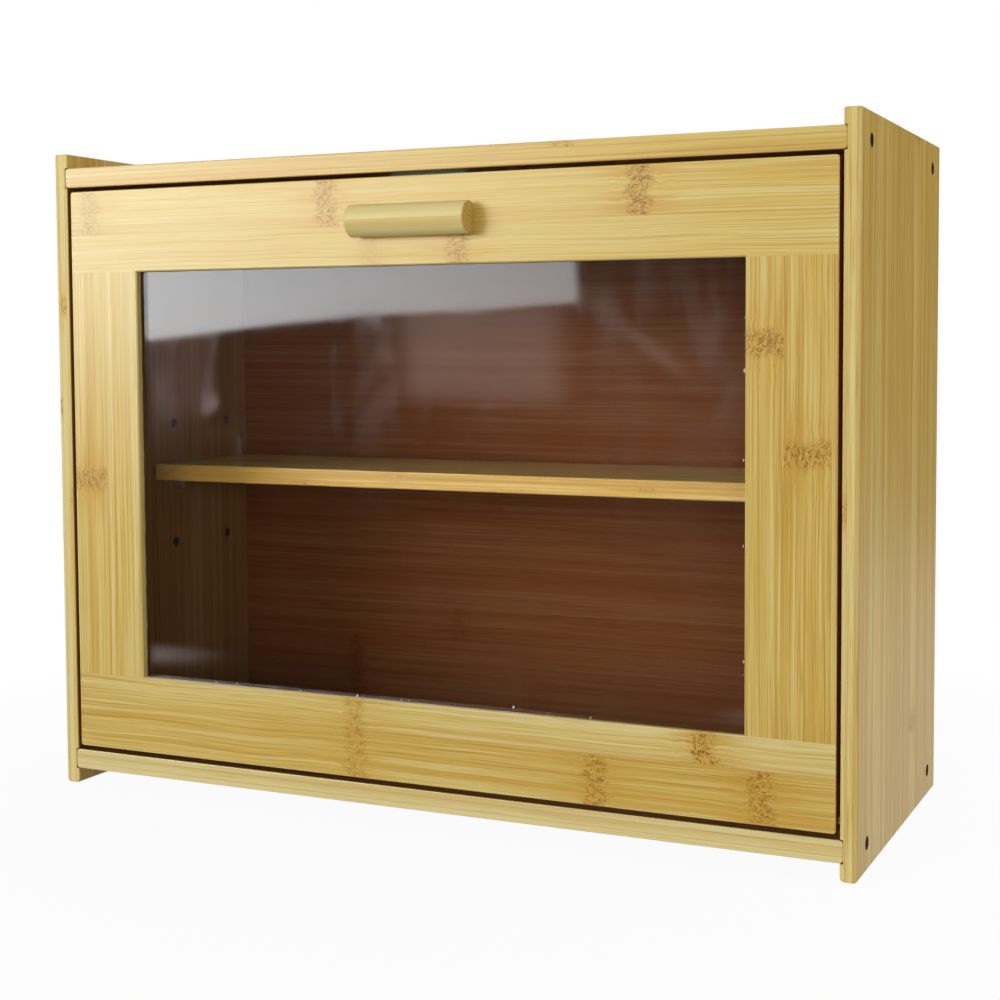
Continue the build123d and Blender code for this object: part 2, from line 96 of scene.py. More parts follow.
FLOOR_DROP = 0.2 * MM
FLOOR_FADE = (0.16, 0.50)  # distances from the middle between which the floor turns white, in metres
SOFTBOX_COLOUR = (0.97, 1.0, 1.12)
LAMPS = (  # name, place, point it is aimed at, width, height, whether the lacquer mirrors it
    ("softbox", (-1.70, -2.95, 0.70), (0.0, 0.0, 0.15), 2.4, 1.6, False),
    ("overhead", (0.05, -0.55, 1.6), (0.0, -0.05, 0.15), 1.2, 0.8, True),
    ("fill", (0.9, -2.4, 0.40), (0.0, 0.0, 0.12), 1.0, 0.8, False),
    ("side", (1.6, 0.2, 0.9), (0.2, 0.0, 0.15), 1.0, 1.0, True),
    ("rear", (-0.4, 1.7, 1.0), (0.0, 0.1, 0.15), 1.4, 1.0, False),
)
UPRIGHT, FLAT = (math.pi / 2, 0.0, 0.0), (0.0, 0.0, 0.0)
TILTED, LEANING = (math.pi / 2, math.radians(-3.3), 0.0), (math.pi / 2, math.radians(36), 0.0)
DARK, WARM = (0.030, 0.022, 0.020), (0.11, 0.08, 0.05)
DIM, FAINT = (0.6, 0.5, 0.4), (0.5, 0.45, 0.4)
CARDS = (  # name, place, turn, width, height, light at the left and at the right, soft share of the edges
    ("card_room", (-0.9, -2.6, 0.9), UPRIGHT, 5.4, 1.8, DARK, DARK, 0.0),
    ("card_table", (-0.5, -1.51, 0.002), FLAT, 4.4, 2.16, DARK, DARK, 0.02),
    ("card_table_near", (-0.05, -0.31, 0.003), FLAT, 1.10, 0.44, DARK, DARK, 0.06),
    ("card_right", (0.80, 1.0, 0.70), UPRIGHT, 1.5, 1.4, WARM, WARM, 0.0),
    ("softbox_face", (-2.095, -2.35, 1.14), TILTED, 2.34, 1.86, (9.0, 9.3, 9.5), (2.9, 3.0, 3.05), 0.008),
    ("card_mauve", (-1.12, -2.40, 0.19), UPRIGHT, 0.46, 0.24, (1.0, 0.80, 0.74), (0.85, 0.68, 0.60), 0.24),
    ("card_door_left", (-1.86, -2.40, 0.15), UPRIGHT, 0.22, 0.26, (0.5, 0.30, 0.30), (0.4, 0.26, 0.26), 0.3),
    ("card_glow", (-1.76, -2.39, 0.085), UPRIGHT, 0.07, 0.06, (3.2, 2.7, 2.6), (2.0, 1.6, 1.6), 0.5),
    ("card_corner_left", (-0.36, -0.33, 0.005), FLAT, 0.15, 0.09, (1.4, 1.2, 1.2), (1.2, 1.0, 1.0), 0.5),
    ("card_corner_right", (0.085, -0.316, 0.005), FLAT, 0.07, 0.07, DIM, DIM, 0.5),
    ("card_sheen", (-0.76, -2.40, 0.20), LEANING, 0.34, 0.05, FAINT, FAINT, 0.5),
)
LAST_SEEN_BOUNCE = 2.5  # the ray depth after which a ray no longer counts as looking

CAMERA_PLACE = (0.35398, -0.72565, 0.22030)
CAMERA_TURN, CAMERA_DIP, CAMERA_TILT = 0.4191, 0.0582, -0.0041
CAMERA_SHIFT = (-0.0463, -0.0641)
SENSOR_WIDTH = 36.0


# ---------------------------------------------------------------- settings


class BREADBIN_PG_wood(bpy.types.PropertyGroup):
    """Colours and grain of the bamboo."""

    pale: bpy.props.FloatVectorProperty(
        name="Pale", description="Lightest fibres", subtype="COLOR", size=3, default=(0.705, 0.580, 0.235)
    )
    gold: bpy.props.FloatVectorProperty(
        name="Gold", description="Middle of the wood's colours", subtype="COLOR", size=3,
        default=(0.645, 0.450, 0.102),
    )
    deep: bpy.props.FloatVectorProperty(
        name="Deep", description="Darkest fibres", subtype="COLOR", size=3, default=(0.520, 0.305, 0.050)
    )
    knuckle: bpy.props.FloatVectorProperty(
        name="Knuckle", description="Dashes where the culm had a node", subtype="COLOR", size=3,
        default=(0.27, 0.13, 0.018),
    )
    amber: bpy.props.FloatVectorProperty(
        name="Amber", description="Warm stain that trails out of a knuckle along the fibres", subtype="COLOR",
        size=3, default=(0.560, 0.305, 0.036),
    )
    # Darkens the inner faces of the cabinet as painted shade.
    inside_shade: bpy.props.FloatVectorProperty(
        name="Lining", description="Tint that darkens the bare inner faces", subtype="COLOR", size=3,
        default=(0.36, 0.27, 0.31),
    )
    back: bpy.props.FloatVectorProperty(
        name="Back board", description="Tint that darkens the thin back board", subtype="COLOR", size=3,
        default=(0.205, 0.100, 0.090),
    )
    roughness: bpy.props.FloatProperty(
        name="Roughness", description="Of the satin lacquer", default=0.29, min=0.0, max=1.0
    )
    strip: bpy.props.FloatProperty(
        name="Strip width", description="Average width of one glued strip", default=0.019, min=0.004,
        unit="LENGTH",
    )
    internode: bpy.props.FloatProperty(
        name="Internode", description="Distance between two knuckles of a culm", default=0.27, min=0.05,
        unit="LENGTH",
    )


class BREADBIN_PG_pane(bpy.types.PropertyGroup):
    """Clear sheet and its glue."""

    tint: bpy.props.FloatVectorProperty(
        name="Tint", description="Colour that the sheet lets through", subtype="COLOR", size=3,
        default=(0.97, 0.96, 0.96),
    )
    waviness: bpy.props.FloatProperty(
        name="Waviness", description="Depth of the slow waves in the sheet", default=0.00035, min=0.0,
        unit="LENGTH",
    )
    glue_speck: bpy.props.FloatProperty(
        name="Glue speck", description="Radius of the largest squeezed-out speck", default=0.00055, min=0.0002,
        unit="LENGTH",
    )


class BREADBIN_PG_stage(bpy.types.PropertyGroup):
    """Floor, lamps and camera."""

    ambient: bpy.props.FloatVectorProperty(
        name="Room light", description="Light from all round", subtype="COLOR", size=3,
        default=(0.08, 0.08, 0.08),
    )
    softbox_power: bpy.props.FloatProperty(
        name="Softbox power", description="In watts", default=73.0, min=0.0, subtype="POWER"
    )
    overhead_power: bpy.props.FloatProperty(
        name="Overhead power", description="In watts", default=2.0, min=0.0, subtype="POWER"
    )
    fill_power: bpy.props.FloatProperty(
        name="Fill power", description="In watts", default=18.5, min=0.0, subtype="POWER"
    )
    side_power: bpy.props.FloatProperty(
        name="Side power", description="In watts", default=12.0, min=0.0, subtype="POWER"
    )
    rear_power: bpy.props.FloatProperty(
        name="Rear power", description="In watts", default=8.0, min=0.0, subtype="POWER"
    )
    floor_radius: bpy.props.FloatProperty(
        name="Floor radius", description="Of the round floor", default=6.0, min=1.0, unit="LENGTH"
    )
    lens: bpy.props.FloatProperty(
        name="Lens", description="Focal length in millimetres", default=59.77, min=10.0,
        subtype="DISTANCE_CAMERA", unit="CAMERA",
    )


def settings():
    """The three groups of settings, kept on the scene."""
    scene = bpy.context.scene
    return scene.breadbin_wood, scene.breadbin_pane, scene.breadbin_stage


# ---------------------------------------------------------------- shader nodes


class Graph:
    """Adds and joins the nodes of one material or world."""

    def __init__(self, owner):
        owner.use_nodes = True
        self.nodes = owner.node_tree.nodes
        self.links = owner.node_tree.links
        self.nodes.clear()

    def node(self, kind, inputs=None, **fixed):
        made = self.nodes.new("ShaderNode" + kind)
        for name, value in fixed.items():
            setattr(made, name, value)
        for socket, value in (inputs or {}).items():
            self.feed(made.inputs[socket], value)
        return made

    def feed(self, socket, value):
        if isinstance(value, bpy.types.NodeSocket):
            self.links.new(value, socket)
        else:
            socket.default_value = value

    def math(self, operation, *values, clamp=False):
        made = self.node("Math", dict(enumerate(values)), operation=operation, use_clamp=clamp)
        return made.outputs[0]

    def add(self, *values):
        total = values[0]
        for value in values[1:]:
            total = self.math("ADD", total, value)
        return total

    def times(self, *values):
        total = values[0]
        for value in values[1:]:
            total = self.math("MULTIPLY", total, value)
        return total

    def swing(self, value, amount):
        """A 0 to 1 pattern as a swing about 0, amount wide."""
        return self.math("MULTIPLY_ADD", value, amount, -amount / 2)

    def between(self, value, low, high, out_low=0.0, out_high=1.0):
        """out_low below low, out_high above high, and a smooth step between them."""
        made = self.node(
            "MapRange",
            {"Value": value, "From Min": low, "From Max": high, "To Min": out_low, "To Max": out_high},
            interpolation_type="SMOOTHSTEP",
        )
        return made.outputs["Result"]

    def near(self, value, centre, half, soft):
        """1 within half of the centre, falling to 0 over soft."""
        return self.between(self.distance(value, centre), half, half + soft, 1.0, 0.0)

    def mix(self, factor, a, b, blend="MIX"):
        """Two colours, each a socket or three numbers; sockets 6, 7 and 2 are the node's colour ones."""
        made = self.node("Mix", data_type="RGBA", blend_type=blend)
        self.feed(made.inputs["Factor"], factor)
        for socket, colour in ((6, a), (7, b)):
            linked = isinstance(colour, bpy.types.NodeSocket)
            self.feed(made.inputs[socket], colour if linked else (*colour, 1.0))
        return made.outputs[2]

    def ramp(self, value, *stops):
        made = self.node("ValToRGB", {"Fac": value})
        elements = made.color_ramp.elements
        while len(elements) < len(stops):
            elements.new(0.5)
        for element, (place, colour) in zip(elements, stops):
            element.position = place
            element.color = (*colour, 1.0)
        return made.outputs["Color"]

    def vector(self, x, y, z):
        return self.node("CombineXYZ", {"X": x, "Y": y, "Z": z}).outputs["Vector"]

    def noise(self, vector, scale=1.0, detail=2.0, roughness=0.5, distortion=0.0):
        made = self.node(
            "TexNoise",
            {"Vector": vector, "Scale": scale, "Detail": detail, "Roughness": roughness,
             "Distortion": distortion},
        )
        return made.outputs["Fac"]

    def place(self):
        """The coordinate node, and the three object coordinates."""
        made = self.node("TexCoord")
        parts = self.node("SeparateXYZ", {"Vector": made.outputs["Object"]})
        return made, list(parts.outputs)

    def beyond(self, value, limit):
        """1 where the value's size is above the limit."""
        return self.math("GREATER_THAN", self.math("ABSOLUTE", value), limit)

    def within(self, value, limit):
        """1 where the value's size is below the limit."""
        return self.math("LESS_THAN", self.math("ABSOLUTE", value), limit)

    def distance(self, value, mark):
        return self.math("ABSOLUTE", self.math("SUBTRACT", value, mark))

    def finish(self, shader):
        self.node("OutputMaterial", {"Surface": shader})


def new_material(name):
    material = bpy.data.materials.new(name)
    return material, Graph(material)


def paint(node, material):
    """Gives a CAD node its material in every slot."""
    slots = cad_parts[node].material_slots
    for slot in slots:
        slot.material = material


# ---------------------------------------------------------------- bamboo


def bamboo(name, grain, across, thick, seed, cuts=None, layers=(), knuckles=(), paleness_and_light=0.0, tint=None,
           knuckle_share=0.45, strip=None, figure=0.0012, matt=0.0, painted_edge_light=0.0, inside_shade=None,
           contrast=1.0, leaf=None):
    """A board of glued bamboo strips.

    grain, across and thick are the axes of the fibres, of the strips' row and of the board's thickness.
    cuts are the glue lines between strips, or None for an irregular row; layers are the glue lines between
    plies. Each knuckle is (lowest across, highest across, place along the grain, strength). Without them,
    knuckle_share of the strips have knuckles by chance. figure is how far the fibres wander sideways, in
    metres. matt is added to the roughness and takes the coat away. paleness_and_light makes the whole board
    paler, and painted_edge_light its long edges; below 0 they make them deeper. paleness_and_light is the
    board's own tone, and on the shelf painted light; painted_edge_light is painted light on the edges, and
    painted shade below 0. tint is multiplied over everything. inside_shade is (which way the inner face looks,
    lowest Z, highest Z): that face is darkened as painted shade, and the walls of the bores are painted dark
    as shade. contrast scales the grain. leaf is the two corners of the door, whose outer edges are darkened
    as painted shade where its gap is in shadow.
    """
    wood = settings()[0]
    material, g = new_material(name)
    coords, place = g.place()
    a, c, t = place[grain], place[across], place[thick]

    ply = 0.0
    for cut in layers:
        ply = g.add(ply, g.math("GREATER_THAN", t, cut))
    index, edge = strips(g, c, ply, seed, cuts, strip or wood.strip)
    for cut in layers:
        edge = g.math("MINIMUM", edge, g.distance(t, cut))
    chance = g.node("TexWhiteNoise", {"Vector": g.vector(index, ply, float(seed))}, noise_dimensions="3D")
    r1, r2, r3 = g.node("SeparateColor", {"Color": chance.outputs["Color"]}).outputs

    core, trail = knots(g, a, c, (r1, r2, r3), seed, knuckles, knuckle_share, wood.internode)

    own = g.math("MULTIPLY_ADD", index, 3.1, seed)
    flow = g.noise(g.vector(g.times(a, 13.0), g.times(c, 42.0), own), detail=1.0)
    ripple = g.noise(g.vector(g.times(a, 170.0), g.times(c, 260.0), float(seed)), detail=2.0)
    c2 = g.add(c, g.swing(flow, figure), g.times(trail, g.swing(ripple, 0.0030)))
    along = g.math("MULTIPLY_ADD", r2, 3.0, a)
    side = g.math("MULTIPLY_ADD", r3, 2.0, c2)

    def fibres(mark, detail, roughness=0.55):
        length, width = mark
        size = g.vector(g.times(along, 1 / length), g.times(side, 1 / width), g.times(t, 1 / width))
        return g.noise(size, detail=detail, roughness=roughness)

    streak, fibre = fibres(STREAK, 3.0, 0.62), fibres(FIBRE, 2.0)
    dashes, hue = fibres(DASH, 1.0), fibres(HUE, 2.0)
    cloud = g.noise(g.vector(g.times(a, 9.0), g.times(c, 28.0), g.times(t, 28.0)), detail=2.0)

    faces = g.node("SeparateXYZ", {"Vector": coords.outputs["Normal"]}).outputs
    edge_face = g.within(faces[thick], SLANTED)
    # The paleness term is the board's own tone, and on the shelf painted light; the edge term is painted light
    # on the long edges, painted shade where it is below 0.
    tone = g.add(
        MIDDLE_TONE + paleness_and_light, g.swing(streak, STREAK_SWING * contrast), g.swing(fibre, FIBRE_SWING * contrast),
        g.swing(cloud, CLOUD_SWING), g.swing(r1, STRIP_SWING), g.times(edge_face, painted_edge_light),
    )
    colour = g.ramp(tone, (0.0, wood.deep), (0.5, wood.gold), (1.0, wood.pale))
    colour = g.mix(g.between(hue, 0.50, 0.68, 0.0, 0.60 * contrast), colour, tuple(wood.amber))
    dark_dash = g.times(g.between(dashes, 0.60, 0.72, 0.0, contrast), g.math("MULTIPLY_ADD", r2, 0.5, 0.3))
    colour = g.mix(dark_dash, colour, DASH_COLOUR)
    glue_line = g.between(edge, 0.00005, 0.00040, 0.32, 0.0)
    colour = g.mix(glue_line, colour, GLUE_LINE_COLOUR)

    plume = g.times(trail, g.between(fibres(PLUME, 2.0), 0.38, 0.62))
    colour, tick = knuckle_colours(g, colour, core, plume, (a, c2, t))
    colour, sawn = end_grain(g, colour, faces[grain], (a, c, t))
    # Painted shade on the face that looks into the cabinet and in its bores.
    if inside_shade is not None:
        colour = paint_inside_shade(g, colour, place, faces[thick], inside_shade)
    # Painted shade on the door's outer edges, where its gap is in shadow.
    if leaf is not None:
        colour = paint_leaf_edge_shade(g, colour, place, edge_face, leaf)
    if tint is not None:
        colour = g.mix(1.0, colour, tuple(tint), blend="MULTIPLY")

    rough = g.add(wood.roughness + matt, g.swing(fibre, 0.14), g.swing(cloud, 0.08), g.times(sawn, 0.22))
    height = g.add(g.times(fibre, 0.5), g.times(dashes, -0.3), g.times(glue_line, -1.2), g.times(tick, -0.4))
    bump = g.node("Bump", {"Strength": 0.35, "Distance": 0.00010, "Height": height})
    shader = g.node(
        "BsdfPrincipled",
        {"Base Color": colour, "Roughness": rough, "IOR": LACQUER_IOR if tint is None else TINTED_IOR,
         "Coat Weight": 0.0 if matt else COAT, "Coat Roughness": COAT_ROUGHNESS,
         "Normal": bump.outputs["Normal"]},
    )
    g.finish(shader.outputs[0])
    return material


def knuckle_colours(g, colour, core, plume, place):
    """Stains the wood round its knuckles and mottles their core; also gives the dark ticks on their own."""
    wood = settings()[0]
    a, c, t = place
    colour = g.mix(g.times(plume, 0.85), colour, tuple(wood.amber))
    colour = g.mix(g.times(core, 0.75), colour, tuple(wood.amber))
    weave = g.noise(
        g.vector(g.times(a, 430.0), g.times(c, 760.0), g.times(t, 760.0)), detail=2.0, roughness=0.7,
        distortion=1.1,
    )
    tick = g.times(g.between(weave, 0.48, 0.60), core)
    colour = g.mix(g.times(tick, 0.95), colour, tuple(wood.knuckle))
    glint = g.times(g.between(weave, 0.46, 0.34), core)
    return g.mix(g.times(glint, 0.30), colour, tuple(wood.pale)), tick


def end_grain(g, colour, normal, place):
    """Dots the sawn ends with the pores between the fibres; also says where those ends are."""
    a, c, t = place
    sawn = g.beyond(normal, SQUARE)
    size = g.vector(g.times(a, 60.0), g.times(c, 1100.0), g.times(t, 1100.0))
    pores = g.node("TexVoronoi", {"Vector": size, "Scale": 1.0}).outputs["Distance"]
    end_colour = g.mix(g.between(pores, 0.22, 0.5, 0.6, 0.0), END_GRAIN_COLOUR, END_PORE_COLOUR)
    return g.mix(sawn, colour, end_colour), sawn


def paint_inside_shade(g, colour, place, normal, inside_shade):
    """Paints shade on the face that looks into the cabinet, and paints the walls of the bores dark as shade.
    """
    way, low, high = inside_shade
    between = g.times(g.math("GREATER_THAN", place[Z], low), g.math("LESS_THAN", place[Z], high))
    inner = g.times(between, g.math("GREATER_THAN", g.times(normal, way), SLANTED))
    # The inner face is multiplied darker as painted shade.
    colour = g.mix(inner, colour, settings()[0].inside_shade, blend="MULTIPLY")
    # The walls of the bores are painted near black as shade.
    bore_shade = g.times(g.within(normal, BESIDE), g.near(place[Y], *BORED_Y, MM), g.near(place[Z], *BORED_Z, MM))
    return g.mix(bore_shade, colour, BORE_SHADE_COLOUR)


def paint_leaf_edge_shade(g, colour, place, edge_face, leaf):
    """Darkens the outer edges of the door, which its gap shows, as painted shade of the gap."""
    low, high = leaf
    middle, half = (low + high) / 2, (high - low) / 2 - Vector((1, 1, 1)) * LEAF_EDGE_SKIN
    side_on = g.math("GREATER_THAN", g.distance(place[X], middle.x), half.x)
    end_on = g.math("GREATER_THAN", g.distance(place[Z], middle.z), half.z)
    outer = g.times(edge_face, g.math("MAXIMUM", side_on, end_on))
    return g.mix(outer, colour, LEAF_EDGE_SHADE, blend="MULTIPLY")


def strips(g, c, ply, seed, cuts, pitch):
    """Which strip a point is in, and how far it is from the nearest glue line."""
    if cuts is None:
        row = g.math("MULTIPLY_ADD", ply, 0.37, g.times(c, 1.0 / pitch))
        row = g.add(row, g.times(g.math("SINE", g.math("MULTIPLY_ADD", row, 2.1, seed)), 0.33), 40.0)
        part = g.math("FRACT", row)
        edge = g.times(g.math("MINIMUM", part, g.math("SUBTRACT", 1.0, part)), pitch)
        return g.math("FLOOR", row), edge
    index, edge = 0.0, 1.0
    for cut in cuts:
        index = g.add(index, g.math("GREATER_THAN", c, cut))
        edge = g.math("MINIMUM", edge, g.distance(c, cut))
    return index, edge


def knots(g, a, c, draws, seed, knuckles, share, internode):
    """Where the culm had its nodes: the mottled core, and the stain that trails from it along the grain."""
    core, trail = 0.0, 0.0
    for low, high, centre, strength in knuckles:
        inside = g.times(g.near(c, (low + high) / 2, (high - low) / 2 - 0.0006, 0.0010), strength)
        wavy = g.noise(g.vector(g.times(c, 240.0), float(seed) + centre * 40, 0.0), detail=2.0)
        shifted = g.add(a, g.swing(wavy, 0.010))
        core = g.math("MAXIMUM", core, g.times(inside, g.near(shifted, centre, 0.0025, 0.0050)))
        trail = g.math("MAXIMUM", trail, g.times(inside, g.near(shifted, centre, 0.0030, 0.0240)))
    if not knuckles and share > 0.0:
        r1, r2, r3 = draws
        run = g.math("MULTIPLY_ADD", a, 1.0 / internode, g.math("MULTIPLY_ADD", r3, 9.0, 20.0))
        wavy = g.noise(g.vector(g.times(c, 240.0), g.times(r1, 50.0), float(seed)), detail=2.0)
        off = g.math("SUBTRACT", g.math("FRACT", run), 0.5)
        off = g.math("MULTIPLY_ADD", off, internode, g.swing(wavy, 0.010))
        shown = g.times(g.math("LESS_THAN", r2, share), g.math("MULTIPLY_ADD", r1, 0.5, 0.3))
        core = g.times(g.near(off, 0.0, 0.0020, 0.0050), shown)
        trail = g.times(g.near(off, 0.0, 0.0025, 0.0220), shown)
    return core, trail


def shares(node, axis, *parts):
    """Places on one axis of a node's box, as shares of its length."""
    low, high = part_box(node)
    return [low[axis] + part * (high[axis] - low[axis]) for part in parts]


# ---------------------------------------------------------------- other finishes


def brushed_metal(name, colour, roughness):
    """Plated or bare steel with fine draw lines and a little wear."""
    material, g = new_material(name)
    coords, _ = g.place()
    stretch = g.node("Mapping", {"Vector": coords.outputs["Object"], "Scale": DRAW_LINES})
    lines = g.noise(stretch.outputs["Vector"], detail=3.0)
    wear = g.noise(coords.outputs["Object"], scale=240.0, detail=3.0)
    shade = g.mix(g.between(wear, 0.35, 0.7), tuple(0.82 * part for part in colour), colour)
    rough = g.add(roughness, g.swing(lines, 0.22), g.swing(wear, 0.12))
    bump = g.node("Bump", {"Strength": 0.2, "Distance": 0.00003, "Height": lines})
    shader = g.node(
        "BsdfPrincipled",
        {"Base Color": shade, "Metallic": 1.0, "Roughness": rough, "Normal": bump.outputs["Normal"]},
    )
    g.finish(shader.outputs[0])
    return material


def moulded(name, colour, roughness):
    """Plain plastic, ferrite or glue: slight mottling and a fine moulded grain."""
    material, g = new_material(name)
    coords, _ = g.place()
    mottle = g.noise(coords.outputs["Object"], scale=180.0, detail=3.0)
    grain = g.noise(coords.outputs["Object"], scale=MOULD_GRAIN, detail=2.0)
    shade = g.mix(g.between(mottle, 0.3, 0.7), tuple(0.86 * part for part in colour), colour)
    bump = g.node("Bump", {"Strength": 0.25, "Distance": 0.00005, "Height": grain})
    rough = g.add(roughness, g.swing(mottle, 0.2))
    shader = g.node(
        "BsdfPrincipled", {"Base Color": shade, "Roughness": rough, "Normal": bump.outputs["Normal"]}
    )
    g.finish(shader.outputs[0])
    return material


def clear_sheet(name):
    """Clear acrylic with slow waves and fine wipe marks; it lets the lamps' light straight through."""
    pane = settings()[1]
    material, g = new_material(name)
    coords, (x, _, z) = g.place()
    waves = g.noise(coords.outputs["Object"], scale=7.0, detail=1.0)
    drift = g.vector(g.times(x, 35.0), 0.0, g.times(z, 9.0))
    smears = g.noise(drift, detail=4.0, roughness=0.65, distortion=0.8)
    wipes = g.noise(g.vector(g.times(x, 600.0), 0.0, g.times(z, 14.0)), detail=2.0)
    rough = g.add(0.022, g.between(smears, 0.45, 0.75, 0.0, 0.05), g.between(wipes, 0.62, 0.75, 0.0, 0.05))
    bump = g.node("Bump", {"Strength": 1.0, "Distance": pane.waviness, "Height": waves})
    glass = g.node(
        "BsdfPrincipled",
        {"Base Color": (*pane.tint, 1.0), "Roughness": rough, "IOR": PANE_IOR, "Transmission Weight": 1.0,
         "Normal": bump.outputs["Normal"]},
    )
    passing = g.node("BsdfTransparent", {"Color": (0.93, 0.92, 0.92, 1.0)})
    rays = g.node("LightPath")
    mixed = g.node(
        "MixShader", {0: rays.outputs["Is Shadow Ray"], 1: glass.outputs[0], 2: passing.outputs[0]}
    )
    g.finish(mixed.outputs[0])
    return material


# ---------------------------------------------------------------- modelling helpers


def start_fresh():
    """Nothing selected and no edit mode, so that an operator acts on the new piece alone."""
    if bpy.context.object is not None and bpy.context.object.mode != "OBJECT":
        bpy.ops.object.mode_set(mode="OBJECT")
    bpy.ops.object.select_all(action="DESELECT")


def settle():
    """Puts the active object's place, turn and size into its mesh."""
    bpy.ops.object.transform_apply(location=True, rotation=True, scale=True)


# ---------------------------------------------------------------- operators


class BREADBIN_OT_carcass(bpy.types.Operator):
    """Finish the cabinet's five boards"""

    bl_idname = "breadbin.carcass"
    bl_label = "Cabinet boards"

    def execute(self, context):
        wood = settings()[0]
        floor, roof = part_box("bottom_panel")[1].z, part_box("top_panel")[0].z
        # Each side panel's inner face and bores get painted shade.
        for seed, node, way in ((11, "left_side_panel", 1.0), (12, "right_side_panel", -1.0)):
            plies = shares(node, X, 0.27, 0.73)
            # Their long edges are made paler as painted light.
            paint(node, bamboo("bamboo_" + node, Z, Y, X, seed, layers=plies, paleness_and_light=-0.12, knuckle_share=0.3,
                               strip=0.0165, matt=0.16, painted_edge_light=0.5, inside_shade=(way, floor, roof)))
        # The top and bottom panels' inner faces get painted shade.
        for seed, node, way, painted_edge_light in ((21, "top_panel", -1.0, -0.1), (22, "bottom_panel", 1.0, 0.7)):
            plies = shares(node, Z, 0.3, 0.7)
            # The top panel's long edges get a little painted shade, the bottom panel's painted light.
            paint(node, bamboo("bamboo_" + node, X, Y, Z, seed, layers=plies, paleness_and_light=0.05, knuckle_share=0.3,
                               painted_edge_light=painted_edge_light, inside_shade=(way, 0.0, 1.0), contrast=0.6))
        # The back board's tint multiplies all its colours darker.
        paint("back_panel", bamboo("bamboo_back_panel", X, Z, Y, 31, tint=wood.back, strip=0.024, matt=0.3))
        return {"FINISHED"}


class BREADBIN_OT_door(bpy.types.Operator):
    """Finish the door's rails and stiles, each with its own strips and knuckles"""

    bl_idname = "breadbin.door"
    bl_label = "Door frame"

    def execute(self, context):
        top, bottom, left, right = "door_top_rail", "door_bottom_rail", "door_left_stile", "door_right_stile"
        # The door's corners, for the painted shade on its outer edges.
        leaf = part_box("door_left_stile")[0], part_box("door_right_stile")[1]
        leaf[0].z, leaf[1].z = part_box(bottom)[0].z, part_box(top)[1].z
        low, line, high = shares(top, Z, 0.0, 0.46, 1.0)
        corner, first, second, third, fourth = shares(top, X, 0.03, 0.38, 0.779, 0.556, 0.44)
        marks = [(line, high, corner, 0.5), (line, high, first, 0.8), (line, high, second, 1.0),
                 (low, line, third, 0.7), (low, line, fourth, 0.2)]
        paint(top, bamboo("bamboo_" + top, X, Z, Y, 41, cuts=[line], knuckles=marks, paleness_and_light=0.08,
                          figure=0.003, contrast=0.6, leaf=leaf))

        low, line, high = shares(bottom, Z, 0.0, 0.62, 1.0)
        near, middle, upper, slant = shares(bottom, X, 0.413, 0.722, 0.852, 0.919)
        marks = [(low, high, near, 0.5), (low, line, middle, 0.8), (line, high, upper, 1.0),
                 (low, line, slant, 0.9)]
        paint(bottom, bamboo("bamboo_" + bottom, X, Z, Y, 42, cuts=[line], knuckles=marks, paleness_and_light=0.08,
                             figure=0.004, contrast=0.85, leaf=leaf))

        low, line, high = shares(left, X, 0.0, 0.5, 1.0)
        place = shares(left, Z, 0.487)[0]
        paint(left, bamboo("bamboo_" + left, Z, X, Y, 43, cuts=[line], knuckles=[(low, line, place, 0.9)],
                           paleness_and_light=0.06, contrast=0.85, leaf=leaf))

        low, line, edge, high = shares(right, X, 0.0, 0.42, 0.93, 1.0)
        upper, lower = shares(right, Z, 0.823, 0.594)
        marks = [(low, line, upper, 1.0), (line, edge, lower, 0.95)]
        paint(right, bamboo("bamboo_" + right, Z, X, Y, 44, cuts=[line, edge], knuckles=marks, paleness_and_light=-0.04,
                            figure=0.0022, leaf=leaf))

        paint("door_dowels", bamboo("birch_dowels", X, Y, Z, 45, cuts=[], paleness_and_light=0.3, knuckle_share=0.0))
        return {"FINISHED"}


class BREADBIN_OT_shelf(bpy.types.Operator):
    """Finish the shelf and the pegs that carry it"""

    bl_idname = "breadbin.shelf"
    bl_label = "Shelf and pegs"

    def execute(self, context):
        plies = shares("shelf", Z, 0.33, 0.67)
        # The whole shelf is made paler as painted light, and its long edges deeper as painted shade.
        paint("shelf", bamboo("bamboo_shelf", X, Y, Z, 51, layers=plies, paleness_and_light=0.40, painted_edge_light=-0.8))
        paint("shelf_pegs", brushed_metal("peg_steel", (0.62, 0.61, 0.59), 0.3))
        return {"FINISHED"}


class BREADBIN_OT_handle(bpy.types.Operator):
    """Finish the round bar handle"""

    bl_idname = "breadbin.handle"
    bl_label = "Handle"

    def execute(self, context):
        line = shares("handle", Z, 0.5)
        paint("handle", bamboo("bamboo_handle", X, Z, Y, 61, cuts=line, paleness_and_light=0.65, knuckle_share=0.0,
                               matt=0.12, contrast=0.5))
        return {"FINISHED"}


class BREADBIN_OT_pane(bpy.types.Operator):
    """Finish the clear sheet in the door"""

    bl_idname = "breadbin.pane"
    bl_label = "Window pane"

    def execute(self, context):
        paint("window_pane", clear_sheet("clear_acrylic"))
        return {"FINISHED"}


